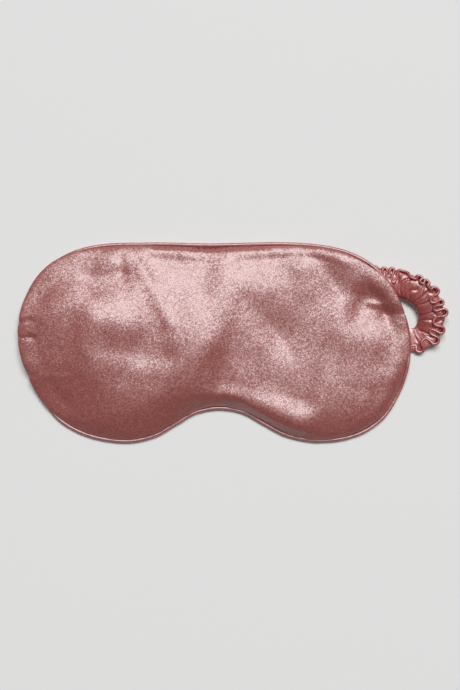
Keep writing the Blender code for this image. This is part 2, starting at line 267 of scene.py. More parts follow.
# The ruffled heading on the casing. Upper is where the loop turns back under the mask. The
# section is given as distance to the side of the fold, and share of the height up to its crest.
FRILL_PITCH = 5.6
FRILL_RATE = 1.1
FRILL_STEPS = 30
FRILL_REACH = 4.1
FRILL_SHARE = 0.8
FRILL_UNEVEN = (0.4, 4.0, 8.0)
FRILL_WANDER = (2.6, 9.0, 5.0)
FRILL_END_SHARE = 0.4
FRILL_PLACE = 0.53
FRILL_CURL = 0.55
FRILL_LIMIT = 0.98
FRILL_ROOT = 1.6
FRILL_GROUND = 0.2
FRILL_START, FRILL_SHORT = 0.6, 3.0  # from the two sewn ends
UPPER_FROM, UPPER_FADE = 27.0, 8.0
UPPER_CALM = 0.6
UPPER_PLACE = 0.25
CREST_LEAN = 0.7
CREST_RISE, CREST_SEEN_RISE = 0.1, 1.1
CREST_UNEVEN = (0.5, 3.0, 2.0)
CREST_DROP, CREST_DROP_FROM = 1.2, 0.6
FRILL_SECTION = [
    (-0.7, 0.0), (-0.62, 0.5), (-0.54, 0.84), (-0.36, 0.96), (0.0, 1.0), (0.36, 0.96),
    (0.54, 0.84), (0.62, 0.5), (0.7, 0.0),
]

# The strap's three lengths: how finely they are divided, and where they meet, counted from each sewn
# end.
SEEN_STATIONS = 300
HIDDEN_STATIONS = 320
SPLIT_RIGHT = 20.0
SPLIT_LEFT = 16.0
ELASTIC_SIDES = 12
ELASTIC_SQUARENESS = 0.3
SEAM_SIDES = 6
INNER_STEP = 2

# Threads: radii, the closing stitch's course along the top edge, and its loose tail, as steps
# from the last stitch.
FINE_THREAD = 0.1
CLOSING_THREAD = 0.22
CLOSING_INSET = 2.5
CLOSING_TOP = 30.0
CLOSING_POINTS = 200
CLOSING_DOWN, CLOSING_CROSS = 0.5, 0.45
CLOSING_HEIGHT, CLOSING_SWAY = 2.75, 0.25
CLOSING_TAIL = [
    (0.8, -0.3, 0.5), (2.2, -1.2, 0.9), (4.0, -1.0, 0.9), (5.0, 0.2, 0.6), (3.8, 0.9, 0.3),
    (2.0, 0.3, 0.2),
]

# Materials: colours, the satin's cells, and bumps as strength and height in metres.
ROSE_DARK, ROSE_LIGHT = (0.235, 0.040, 0.032), (0.385, 0.080, 0.066)
PIPING_DARK, PIPING_LIGHT = (0.26, 0.050, 0.045), (0.48, 0.130, 0.118)
# The strap is the panels' rose satin, with its colours painted more saturated: painted shade and
# painted rose reflection between its gathers.
STRAP_SHADED_DARK, STRAP_SHADED_LIGHT = (0.25, 0.028, 0.024), (0.46, 0.075, 0.066)
THREAD_DARK, THREAD_LIGHT = (0.20, 0.08, 0.075), (0.45, 0.22, 0.21)
LINING_DARK, LINING_LIGHT = (0.010, 0.010, 0.011), (0.03, 0.03, 0.033)
ELASTIC_DARK, ELASTIC_LIGHT = (0.60, 0.58, 0.56), (0.85, 0.83, 0.80)
WADDING_DARK, WADDING_LIGHT = (0.72, 0.71, 0.68), (0.92, 0.91, 0.88)
CORD_DARK, CORD_LIGHT = (0.62, 0.60, 0.55), (0.88, 0.86, 0.80)
SHEEN_TINT = (0.98, 0.92, 0.92)
STRAP_SHEEN = (1.0, 0.92, 0.91)
SATIN_CELLS = 2200.0
SATIN_STRETCH = (0.8, 1.0, 1.0)
SATIN_TILT = 0.28
SATIN_IOR = 1.9
WEAVE_DISTORTION = 0.6
WEAVE_BUMP = (0.5, 0.0002)
FIBRE_DETAIL = 6.0
FIBRE_STRETCH = (1, 1, 2)
FIBRE_SPAN = (0.3, 0.7)
FIBRE_BUMP = (0.6, 0.0005)

# Stage and light, in metres and watts.
FLOOR_HALF = 3.0
FLOOR_COLOUR = (0.80, 0.80, 0.795, 1)
WORLD_STRENGTH = 0.10
KEY_PLACE, KEY_SIZE, KEY_POWER = (3.0, 12.4, 21.6), (20.6, 10.0), 6220.0
TOP_PLACE, TOP_SIZE, TOP_POWER = (0.0, 0.0, 3.0), (1.5, 1.5), 5.0

# Camera: straight above, framing the mask a little above and left of the middle.
VIEW_CENTRE = (8.2, -1.9)
VIEW_HEIGHT = 369.0
LENS = 55.0
SENSOR = 36.0
PANEL_LEVEL = 1.5
CLIP_START = 0.01


def ease(t):
    """Smooth step from 0 to 1, held at both ends."""
    t = np.clip(t, 0.0, 1.0)
    return t * t * (3.0 - 2.0 * t)


def rise(value, start, run):
    """0 up to the start, 1 from the end of the run, smooth between."""
    return ease((value - start) / run)


def spline(points, steps, closed):
    """Catmull-Rom curve through the points, with so many steps from each to the next."""
    p = np.array(points, float)
    if closed:
        spans = range(len(p))
    else:
        p = np.vstack([2 * p[0] - p[1], p, 2 * p[-1] - p[-2]])
        spans = range(1, len(p) - 2)
    out = []
    for i in spans:
        a, b, c, d = (p[(i + k) % len(p)] for k in (-1, 0, 1, 2))
        for t in np.arange(steps) / steps:
            out.append(0.5 * (2 * b + (c - a) * t + (2 * a - 5 * b + 4 * c - d) * t * t
                              + (3 * b - a - 3 * c + d) * t ** 3))
    if not closed:
        out.append(p[-2])
    return np.array(out)


def lengths(line, closed=False):
    """Distance along the line at each point, and the whole length last if it is closed."""
    ends = np.vstack([line, line[:1]]) if closed else line
    return np.concatenate([[0.0], np.cumsum(np.linalg.norm(np.diff(ends, axis=0), axis=1))])


def even(line, count, closed):
    """The same line, resampled at equal distances."""
    reach = lengths(line, closed)
    ends = np.vstack([line, line[:1]]) if closed else line
    goal = np.linspace(0.0, reach[-1], count, endpoint=not closed)
    return np.stack([np.interp(goal, reach, ends[:, k]) for k in range(line.shape[1])], axis=1)


def mask_outline():
    """The CAD's outline as a closed clockwise line, leaning to the left at the top."""
    left = [(-x, y) for x, y in HALF_OUTLINE[-2:0:-1]]
    line = spline(HALF_OUTLINE + left, OUTLINE_STEPS, True)
    line[:, 0] -= LEAN * line[:, 1]
    return line


OUTLINE = mask_outline()


def inward(loop):
    """Unit vectors into the clockwise loop."""
    along = np.roll(loop, -1, axis=0) - np.roll(loop, 1, axis=0)
    along /= np.linalg.norm(along, axis=1)[:, None]
    return np.stack([along[:, 1], -along[:, 0]], axis=1)


def inset(loop, distance):
    """The loop, moved inwards by a distance."""
    return loop + inward(loop) * distance


def ray_radius(loop, angle):
    """Distance from MIDDLE to the loop along each angle."""
    rays = loop - MIDDLE
    around = np.arctan2(rays[:, 1], rays[:, 0])
    order = np.argsort(around)
    return np.interp(angle, around[order], np.linalg.norm(rays, axis=1)[order], period=2 * math.pi)


def depth(x, y):
    """Distance in from the outline, along the ray from MIDDLE."""
    dx, dy = x - MIDDLE[0], y - MIDDLE[1]
    return ray_radius(OUTLINE, np.arctan2(dy, dx)) - np.hypot(dx, dy)


def panel_depth(x, y):
    """Distance in from the panels' seam, and 0 outside it."""
    return np.maximum(depth(x, y) - PANEL_INSET, 0.0)


def strap_height(full):
    """Height of the CAD strap's middle, and half its thickness, at a fullness from 0 to 1."""
    half = STRAP_END_HALF_HEIGHT + (STRAP_HALF_HEIGHT - STRAP_END_HALF_HEIGHT) * full
    return STRAP_END_HEIGHT + (STRAP_GROUND + STRAP_HALF_HEIGHT - STRAP_END_HEIGHT) * full, half


def strap_fullness(reach):
    """0 at the sewn ends of the strap, 1 where it has its full section."""
    return ease(np.minimum(reach, reach[-1] - reach) / STRAP_TAPER)


STRAP_COARSE = spline(STRAP_ROUTE, COARSE, False)


def rim_lift(x, y):
    """How far the strap lifts the rim, smooth along the strap."""
    gaps = np.hypot(x[:, None] - STRAP_COARSE[:, 0], y[:, None] - STRAP_COARSE[:, 1])
    nearest = gaps.min(axis=1)
    shares = np.exp((nearest[:, None] - gaps) / LIFT_BLEND)
    tops = sum(strap_height(strap_fullness(lengths(STRAP_COARSE))))
    top = (shares * tops).sum(axis=1) / shares.sum(axis=1)
    return (top + LIFT_GAP) * (1.0 - ease((nearest - LIFT_FLAT) / LIFT_FADE))


def row(x, y, z):
    """Array of points in metres in the CAD frame."""
    return np.stack([(x + SHIFT[0]) * MM, (y + SHIFT[1]) * MM, z * MM], axis=1)


def uneven(x, y, height, size, seed):
    """Smooth noise of about a height up and down, with lumps of a size in millimetres."""
    spots = [noise.noise(Vector((a / size, b / size, seed))) for a, b in zip(x, y)]
    return height * (np.array(spots) * NOISE_GAIN)


def inside(loop, x, y):
    """True for the points within the closed loop."""
    ends = np.roll(loop, -1, axis=0)
    crossings = np.zeros(x.shape, int)
    for (ax, ay), (bx, by) in zip(loop, ends):
        if ay == by:
            continue
        spans = (ay > y) != (by > y)
        crossings += spans & (x < ax + (y - ay) * (bx - ax) / (by - ay))
    return crossings % 2 == 1


def blown_membrane():
    """Grid of heights from 0 at the seam to nearly 1, like a membrane blown up over a soft pad."""
    across = np.arange(*PILLOW_ACROSS, PILLOW_CELL)
    up = np.arange(*PILLOW_UP, PILLOW_CELL)
    x, y = np.meshgrid(across, up)
    free = inside(inset(OUTLINE, PANEL_INSET)[::COARSE], x, y)
    pull = (PILLOW_CELL / PILLOW_REACH) ** 2
    z = np.zeros(x.shape)
    for _ in range(PILLOW_ROUNDS):
        around = np.roll(z, 1, 0) + np.roll(z, -1, 0) + np.roll(z, 1, 1) + np.roll(z, -1, 1)
        z = np.where(free, (around + pull) / (4.0 + pull), 0.0)
    return across, up, z


MEMBRANE = blown_membrane()


def pillow(x, y):
    """The blown membrane's height at each point, read smoothly from its grid."""
    across, up, z = MEMBRANE
    u, v = (x - across[0]) / PILLOW_CELL, (y - up[0]) / PILLOW_CELL
    i = np.clip(u.astype(int), 0, len(across) - 2)
    j = np.clip(v.astype(int), 0, len(up) - 2)
    s, t = u - i, v - j
    low = z[j, i] * (1 - s) + z[j, i + 1] * s
    high = z[j + 1, i] * (1 - s) + z[j + 1, i + 1] * s
    return low * (1 - t) + high * t


def stroke(x, y, a, b, above, below, ends):
    """1 along the line from a to b, fading at its own pace on its left, its right and its ends."""
    a, b = np.array(a), np.array(b)
    length = np.linalg.norm(b - a)
    along = (b - a) / length
    run = (x - a[0]) * along[0] + (y - a[1]) * along[1]
    aside = (y - a[1]) * along[0] - (x - a[0]) * along[1]
    beyond = np.maximum(np.maximum(-run, run - length), 0.0) / ends
    return np.exp(-(aside / np.where(aside > 0.0, above, below)) ** 2 - beyond ** 2)


def closing_share(x, y):
    """1 beside the closed turning gap in the top edge, 0 away from it."""
    half = CLOSING_FADE / 2
    start = ease((x - CLOSING_FROM + half) / CLOSING_FADE)
    end = 1.0 - ease((x - CLOSING_TO - half) / CLOSING_FADE)
    return start * end * (y > 0)


def closing_pucker(x, y, d):
    """Small gathers between the closing stitches, at a distance in from the seam."""
    wave = np.cos(2 * math.pi * x / CLOSING_PITCH + uneven(x, y, *PUCKER_SWAY))
    near = np.exp(-(d / PUCKER_RUN) ** 2)
    return PUCKER_HEIGHT * closing_share(x, y) * wave * near * ease(d / PUCKER_START)


def closing_groove(x, y, d):
    """Depth of the groove that the closing stitches pull in."""
    return closing_share(x, y) * GROOVE_DEPTH * np.exp(-((d - GROOVE_AT) / GROOVE_RUN) ** 2)


def edge_rucks(x, y, d):
    """Rucks that run in from the seam."""
    near = np.exp(-((d - RUCK_AT) / RUCK_RUN) ** 2) * ease(d / RUCK_AT)
    turn = np.arctan2(y - MIDDLE[1], x - MIDDLE[0])
    return uneven(turn * RUCK_SPREAD, 0 * x, *RUCKS) * near


def firm_rim(x, y):
    """1 where the puff rises faster from the seam: round the nose and the lower right."""
    return rise(x, *FIRM_RIGHTWARDS) * rise(-y, *FIRM_DOWNWARDS)


def left_tuck(x, y):
    """1 along the left edge, where the puff hangs over the piping."""
    return rise(-x, *TUCK_LEFTWARDS) * rise(y, *TUCK_UPWARDS)


def beside_strap(x, y):
    """1 along the right edge, where the strap's loop comes out."""
    return rise(x, *LOOP_RIGHTWARDS) * rise(y, *LOOP_UPWARDS) * rise(-y, *LOOP_DOWNWARDS)


def front_height(x, y):
    """Height of the front panel's face."""
    d = panel_depth(x, y)
    swell = 1.0 - (1.0 - pillow(x, y)) ** (1.0 + FIRMNESS * firm_rim(x, y))
    z = rim_lift(x, y) * (1.0 - swell) + PANEL_EDGE_HEIGHT + PILLOW_HEIGHT * swell
    z = z + SHOULDER * (1.0 - np.exp(-d / SHOULDER_RUN)) + DOME_HEIGHT * ease(d / DOME_RUN)
    fade = ease(d / FOLD_FADE)
    for a, b, above, below, ends, height in RELIEF:
        z = z + height * stroke(x, y, a, b, above, below, ends) * fade
    z = z + uneven(x, y, *BROAD_LUMPS) * fade
    z = z + uneven(x, y, *SMALL_LUMPS) * fade
    z = z + edge_rucks(x, y, d)
    z = z + closing_pucker(x, y, d)
    return z - closing_groove(x, y, d)


def underside(x, y):
    """Height of the back of the padding: hollow over the eyes, and raised where the strap lies."""
    dish = SOFT_DISH * ease((pillow(x, y) - DISH_RISE[0]) / DISH_RISE[1])
    raised = (rim_lift(x, y) ** 4 + dish ** 4) ** 0.25
    room = front_height(x, y) - THINNEST
    return room - ROUNDING * np.log1p(np.exp((room - raised) / ROUNDING))


def overhang(x, y):
    """How far the front panel bulges outwards past its seam."""
    d = depth(x, y) - PANEL_INSET
    nicks = sum(np.exp(-((y - at) / width) ** 2) for at, width in NICKS)
    share = np.exp(-((d - BULGE_AT) / BULGE_RUN) ** 2) * ease(d / BULGE_AT)
    left = left_tuck(x, y) * (BULGE_LEFT - NICK_DEPTH * nicks)
    return share * (BULGE + BULGE_BY_STRAP * beside_strap(x, y) + left)


def back_height(x, y):
    """Height of the back panel's face, which meets the front panel's seam at the edge."""
    d = panel_depth(x, y)
    edge = rim_lift(x, y) + BACK_EDGE
    z = underside(x, y) + BACK_GAP + uneven(x, y, *BACK_LUMPS) * ease(d / BACK_LUMPS_FADE)
    z = np.maximum(z, BACK_GROUND)
    return edge + (z - edge) * ease(d / BACK_EDGE_RUN)


def lining_height(x, y):
    """Height of the blackout lining, just inside the back panel."""
    return underside(x, y) + LINING_GAP


def wadding_high(x, y):
    """Height of the wadding's upper face."""
    return front_height(x, y) - WADDING_TOP_GAP


def wadding_low(x, y):
    """Height of the wadding's lower face, above the lining."""
    return np.minimum(underside(x, y) + WADDING_LOW_GAP, wadding_high(x, y) - WADDING_THINNEST)


def grid_quads(wide, high):
    """Quads of a grid of points, so many wide and so many high."""
    k = (np.arange(high - 1)[:, None] * wide + np.arange(wide - 1)).ravel()
    return np.stack([k, k + 1, k + wide + 1, k + wide], axis=1)


def tube_quads(rings, sides, closed):
    """Quads of a tube of rings of points, each ring after the one before."""
    i = np.arange(rings if closed else rings - 1)[:, None]
    j = np.arange(sides)[None, :]
    here, there = i * sides, (i + 1) % rings * sides
    after = (j + 1) % sides
    return np.stack([here + j, there + j, there + after, here + after], axis=2).reshape(-1, 4)


def show(name, data):
    """New object in the scene."""
    piece = bpy.data.objects.new(name, data)
    bpy.context.scene.collection.objects.link(piece)
    return piece


def new_piece(name, points, faces):
    """Smooth mesh object from an array of points and a list of faces."""
    mesh = bpy.data.meshes.new(name)
    mesh.from_pydata(points.tolist(), [], faces)
    mesh.shade_smooth()
    return show(name, mesh)


def disc_sheet(name, cells, distance, height, bulge=None):
    """Quad sheet over the inside of the outline, ending at a distance from it."""
    u, v = np.meshgrid(np.linspace(-1, 1, cells[0] + 1), np.linspace(-1, 1, cells[1] + 1))
    a = (u * np.sqrt(1 - v * v / 2)).ravel()
    b = (v * np.sqrt(1 - u * u / 2)).ravel()
    angle = np.arctan2(b * HALF_HEIGHT, a * HALF_WIDTH)
    r = 1.0 - (1.0 - np.minimum(np.hypot(a, b), 1.0)) ** EDGE_CROWDING
    r = r * ray_radius(inset(OUTLINE, distance), angle)
    x, y = MIDDLE[0] + r * np.cos(angle), MIDDLE[1] + r * np.sin(angle)
    z = height(x, y)
    if bulge:
        out = bulge(x, y)
        x, y = x + out * np.cos(angle), y + out * np.sin(angle)
    return new_piece(name, row(x, y, z), grid_quads(cells[0] + 1, cells[1] + 1).tolist())


def disc_pad(name, cells, distance, low, high):
    """Closed pad between two heights, with a wall between the rims of its two faces."""
    bottom = disc_sheet(name, cells, distance, low)
    top = disc_sheet(name + "_top", cells, distance, high)
    mesh = bmesh.new()
    mesh.from_mesh(bottom.data)
    mesh.from_mesh(top.data)
    rims = [e for e in mesh.edges if e.is_boundary]
    bmesh.ops.bridge_loops(mesh, edges=rims)
    bmesh.ops.recalc_face_normals(mesh, faces=mesh.faces)
    mesh.to_mesh(bottom.data)
    mesh.free()
    bpy.data.objects.remove(top)
    bottom.data.shade_smooth()
    return bottom


def solidify(piece, thickness, offset):
    """Gives a sheet its cloth's thickness, in millimetres, on one side of its surface."""
    cloth = piece.modifiers.new("cloth", "SOLIDIFY")
    cloth.thickness = thickness * MM
    cloth.offset = offset
    cloth.use_even_offset = False


def shader_of(name, roughness, specular=0.5):
    """New material: itself, its nodes, its links, its shader and the object's coordinates."""
    made = bpy.data.materials.new(name)
    made.use_nodes = True
    nodes, links = made.node_tree.nodes, made.node_tree.links
    bsdf = nodes["Principled BSDF"]
    bsdf.inputs["Roughness"].default_value = roughness
    bsdf.inputs["Specular IOR Level"].default_value = specular
    place = nodes.new("ShaderNodeTexCoord")
    return made, nodes, links, bsdf, place.outputs["Object"]


def stretched(nodes, links, where, stretch):
    """The coordinates, scaled along each axis."""
    mapping = nodes.new("ShaderNodeMapping")
    mapping.inputs["Scale"].default_value = stretch
    links.new(where, mapping.inputs["Vector"])
    return mapping.outputs["Vector"]


def cells_node(nodes, links, where, scale):
    """A shade from 0 to 1 for each small cell, and a vector of three such shades."""
    cells = nodes.new("ShaderNodeTexVoronoi")
    cells.inputs["Scale"].default_value = scale
    links.new(where, cells.inputs["Vector"])
    parts = nodes.new("ShaderNodeSeparateColor")
    links.new(cells.outputs["Color"], parts.inputs["Color"])
    return parts.outputs["Blue"], cells.outputs["Color"]


def vector_step(nodes, links, kind, *inputs):
    """Vector maths node fed with sockets and fixed vectors."""
    made = nodes.new("ShaderNodeVectorMath")
    made.operation = kind
    for socket, value in zip(made.inputs, inputs):
        if isinstance(value, tuple):
            socket.default_value = value
        else:
            links.new(value, socket)
    return made


def tilted(nodes, links, turned, amount):
    """The surface's normal, leant another way in each cell, as the floats of satin are."""
    normal = nodes.new("ShaderNodeNewGeometry").outputs["Normal"]
    centred = vector_step(nodes, links, "SUBTRACT", turned, (0.5, 0.5, 0.5))
    small = vector_step(nodes, links, "SCALE", centred.outputs["Vector"])
    small.inputs["Scale"].default_value = amount
    leant = vector_step(nodes, links, "ADD", normal, small.outputs["Vector"])
    return vector_step(nodes, links, "NORMALIZE", leant.outputs["Vector"]).outputs["Vector"]


def colour_between(nodes, links, bsdf, value, dark, light, span=(0.0, 1.0)):
    """Colours a shader from dark to light as a value goes over a span."""
    made = nodes.new("ShaderNodeValToRGB")
    for stop, at, colour in zip(made.color_ramp.elements, span, (dark, light)):
        stop.position = at
        stop.color = (*colour, 1)
    links.new(value, made.inputs["Fac"])
    links.new(made.outputs["Color"], bsdf.inputs["Base Color"])


def bump(nodes, links, bsdf, height, strength, distance):
    """Gives a shader the relief of a shade, with its height in metres."""
    made = nodes.new("ShaderNodeBump")
    made.inputs["Strength"].default_value = strength
    made.inputs["Distance"].default_value = distance
    links.new(height, made.inputs["Height"])
    links.new(made.outputs["Normal"], bsdf.inputs["Normal"])


def satin(name, dark, light, roughness=0.45, grain=1.0, sheen=SHEEN_TINT):
    """Lustrous satin: floats of thread of slightly different shades that catch the light in specks."""
    made, nodes, links, bsdf, where = shader_of(name, roughness, specular=1.0)
    bsdf.inputs["IOR"].default_value = SATIN_IOR
    bsdf.inputs["Specular Tint"].default_value = (*sheen, 1.0)
    where = stretched(nodes, links, where, SATIN_STRETCH)
    shade, turned = cells_node(nodes, links, where, SATIN_CELLS)
    colour_between(nodes, links, bsdf, shade, dark, light)
    links.new(tilted(nodes, links, turned, SATIN_TILT * grain), bsdf.inputs["Normal"])
    return made


def plain_weave(name, dark, light, scale, roughness=0.85):
    """Matt thread or cloth with a fine crossed weave."""
    made, nodes, links, bsdf, where = shader_of(name, roughness)
    cross = nodes.new("ShaderNodeMath")
    cross.operation = "MULTIPLY"
    for direction, socket in zip("XY", cross.inputs):
        wave = nodes.new("ShaderNodeTexWave")
        wave.bands_direction = direction
        wave.inputs["Scale"].default_value = scale
        wave.inputs["Distortion"].default_value = WEAVE_DISTORTION
        links.new(where, wave.inputs["Vector"])
        links.new(wave.outputs["Fac"], socket)
    colour_between(nodes, links, bsdf, cross.outputs[0], dark, light)
    bump(nodes, links, bsdf, cross.outputs[0], *WEAVE_BUMP)
    return made


def fibrous(name, dark, light, scale, roughness=0.95):
    """Loose or twisted fibres."""
    made, nodes, links, bsdf, where = shader_of(name, roughness)
    fibre = nodes.new("ShaderNodeTexNoise")
    fibre.inputs["Scale"].default_value = scale
    fibre.inputs["Detail"].default_value = FIBRE_DETAIL
    links.new(stretched(nodes, links, where, FIBRE_STRETCH), fibre.inputs["Vector"])
    colour_between(nodes, links, bsdf, fibre.outputs["Fac"], dark, light, FIBRE_SPAN)
    bump(nodes, links, bsdf, fibre.outputs["Fac"], *FIBRE_BUMP)
    return made


def dress(piece, look, body, slot, *nodes):
    """Gives a piece its material and its body if it rides on one, and hides the nodes it replaces; the
    slot is not used.
    """
    piece.data.materials.append(look)
    if body:
        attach(piece, body)
    if nodes:
        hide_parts(*nodes)


def make_piping(look):
    """Piped edge: a thin roll of satin, a little uneven where the bias strip rucks."""
    loop = even(OUTLINE, PIPING_RINGS, True)
    reach = lengths(loop, True)[:-1]
    under = left_tuck(loop[:, 0], loop[:, 1]) + beside_strap(loop[:, 0], loop[:, 1])
    into = inward(loop)
    centre = loop + into * (PIPING_ROLL + PIPING_UNDER * under[:, None])
    foot = rim_lift(centre[:, 0], centre[:, 1]) - PIPING_DROP * under
    angle = np.linspace(0, 2 * math.pi, PIPING_SIDES, endpoint=False)
    size = PIPING_ROLL * (1.0 + uneven(reach, 0 * reach, *PIPING_UNEVEN))
    sway = uneven(reach, 0 * reach, *PIPING_SWAY)
    across = np.cos(angle)[None, :] * size[:, None] + sway[:, None]
    up = np.sin(angle)[None, :] * size[:, None] * PIPING_TALL
    x = centre[:, :1] + into[:, :1] * across
    y = centre[:, 1:] + into[:, 1:] * across
    z = np.maximum((foot + PIPING_HEIGHT)[:, None] + up, PIPING_GROUND)
    faces = tube_quads(PIPING_RINGS, PIPING_SIDES, True).tolist()
    piece = new_piece("piping_satin", row(x.ravel(), y.ravel(), z.ravel()), faces)
    dress(piece, look, "mask", "satin_piping", "piping_cover")


def make_panels(front_look, back_look):
    """The two satin panels, which meet at the piping."""
    front = disc_sheet("front_satin_panel", FRONT_CELLS, PANEL_INSET, front_height, overhang)
    solidify(front, SATIN_CLOTH, INWARDS)
    dress(front, front_look, "mask", "satin_front", "front_panel")
    back = disc_sheet("back_satin_panel", BACK_CELLS, PANEL_INSET, back_height)
    solidify(back, SATIN_CLOTH, OUTWARDS)
    dress(back, back_look, "mask", "satin_back", "back_panel")


def make_fillings(wadding_look, lining_look):
    """The dark interlining and the wadding between the panels."""
    lining = disc_sheet("blackout_sheet", FILLING_CELLS, LINING_INSET, lining_height)
    solidify(lining, LINING_CLOTH, OUTWARDS)
    dress(lining, lining_look, "mask", "lining", "blackout_lining")
    pad = disc_pad("wadding_layer", FILLING_CELLS, WADDING_INSET, wadding_low, wadding_high)
    dress(pad, wadding_look, "mask", "wadding", "wadding_pad")


def thread_curve(name, points, radius):
    """Round thread through the points, as a curve object."""
    curve = bpy.data.curves.new(name, "CURVE")
    curve.dimensions = "3D"
    curve.bevel_depth = radius * MM
    curve.bevel_resolution = 2
    curve.use_fill_caps = True
    run = curve.splines.new("POLY")
    run.points.add(len(points) - 1)
    for spot, point in zip(run.points, points):
        spot.co = (*point, 1.0)
    return show(name, curve)


def make_closing_thread(look):
    """Slip stitches across the groove in the top edge, with a small loop left at the end."""
    loop = inset(OUTLINE, CLOSING_INSET)
    top = loop[loop[:, 1] > CLOSING_TOP]
    top = top[np.argsort(top[:, 0])]
    x = np.linspace(CLOSING_FROM, CLOSING_TO, CLOSING_POINTS)
    to_and_fro = np.sign(np.sin(2 * math.pi * x / CLOSING_PITCH))
    y = np.interp(x, top[:, 0], top[:, 1]) - CLOSING_DOWN + CLOSING_CROSS * to_and_fro
    foot = rim_lift(x, y)
    z = foot + CLOSING_HEIGHT + CLOSING_SWAY * np.sin(4 * math.pi * x / CLOSING_PITCH)
    tail = np.array([x[-1], y[-1], z[-1]]) + np.array(CLOSING_TAIL)
    points = np.vstack([row(x, y, z), row(tail[:, 0], tail[:, 1], tail[:, 2])])
    piece = thread_curve("closing_thread", points, CLOSING_THREAD)
    dress(piece, look, "mask", "thread", "closing_stitch")


class Strap:
    """The strap's course: where its middle line runs, and how wide, high and thick it is there."""
    line = even(spline(STRAP_ROUTE, STRAP_STEPS, False), STRAP_STATIONS, False)
    reach = lengths(line)
    end = reach[-1]
    along = np.gradient(line, axis=0)
    along /= np.linalg.norm(along, axis=1)[:, None]
    side = np.stack([along[:, 1], -along[:, 0]], axis=1)
    full = strap_fullness(reach)
    seen = ease((STRAP_SEEN - SEEN_MARGIN - reach) / SEEN_FADE)
    seen = seen * rise(reach, SEEN_START, SEEN_START_RUN)
    pressed = STRAP_PRESSED * full * (1.0 - seen)
    middle, half = strap_height(full)
    middle = middle + SEEN_RAISED * seen * full - pressed
    half = half + SEEN_FULLER * seen * ((1.0 + full) / 2) - pressed
    wide = STRAP_END_HALF_WIDTH + (STRAP_HALF_WIDTH - STRAP_END_HALF_WIDTH) * full


def strap_read(s, *values):
    """Those values of the strap, at distances along it."""
    return [np.interp(s, Strap.reach, value) for value in values]


def strap_plan(s, across):
    """Place of a point at a distance along the strap and outwards from its middle line."""
    x, y = strap_read(s, Strap.line[:, 0], Strap.line[:, 1])
    side_x, side_y = strap_read(s, Strap.side[:, 0], Strap.side[:, 1])
    return x + side_x * across, y + side_y * across


def strap_ends(s):
    """0 at the sewn ends, 1 from a few millimetres away from them."""
    return rise(np.minimum(s, Strap.end - s), SEWN_FLAT, SEWN_RUN)


def field(s, outer, above, size, turn, seed):
    """Smooth noise over the casing's surface, with lumps of a size in millimetres along it."""
    flat = zip(s.ravel(), outer.ravel(), above.ravel())
    values = [noise.noise(Vector((a / size, b * turn, c * turn + seed))) for a, b, c in flat]
    return np.array(values).reshape(s.shape)


def casing_push(s, outer, above, frill):
    """How far the tube's wall stands out or in: rounded rucks outside, sharp pleats inside."""
    waver = field(s, outer, above, *CASING_WAVER)
    turns = s / FRILL_PITCH + CASING_SWAY * waver + CASING_SLANT * above
    finger = np.sqrt(1.0 - (2.0 * (turns % 1.0) - 1.0) ** 2)
    size = FINGER_SIZE + FINGER_SPREAD * np.sin(FINGER_TURN * np.floor(turns) + FINGER_FIRST)
    pleat = np.exp(-(np.sin(math.pi * s / PLEAT_PITCH + PLEAT_SWAY * waver) / PLEAT_WIDTH) ** 2)
    push = frill * (FINGER_HEIGHT * size * (finger - FINGER_SUNK))
    push = push - (1.0 - frill) * PLEAT_DEPTH * pleat
    return push + FINE_HEIGHT * field(s, outer, above, *CASING_FINE)


def casing_part(stations):
    """The gathered tube: a pleated band on its inner side, and a fuller, rucked outer side."""
    angle = np.linspace(0, 2 * math.pi, STRAP_SIDES, endpoint=False)
    s = stations[:, None] + 0 * angle[None, :]
    outer, above = np.cos(angle)[None, :] + 0 * s, np.sin(angle)[None, :] + 0 * s
    middle, half, wide, seen = strap_read(s, Strap.middle, Strap.half, Strap.wide, Strap.seen)
    frill = rise(outer, *CASING_OUTER)
    push = casing_push(s, outer, above, frill) * strap_ends(s)
    aside = push * (PUSH_LEAST + (1.0 - PUSH_LEAST) * np.abs(outer)) * np.sign(outer)
    x, y = strap_plan(s, wide * outer * (1.0 - CASING_TUCKED * frill) + aside)
    lean = STRAP_LEAN * outer * seen
    z = np.maximum(middle + lean + (half + push * PUSH_UP) * above, CASING_GROUND)
    return row(x.ravel(), y.ravel(), z.ravel()), tube_quads(len(stations), STRAP_SIDES, False)


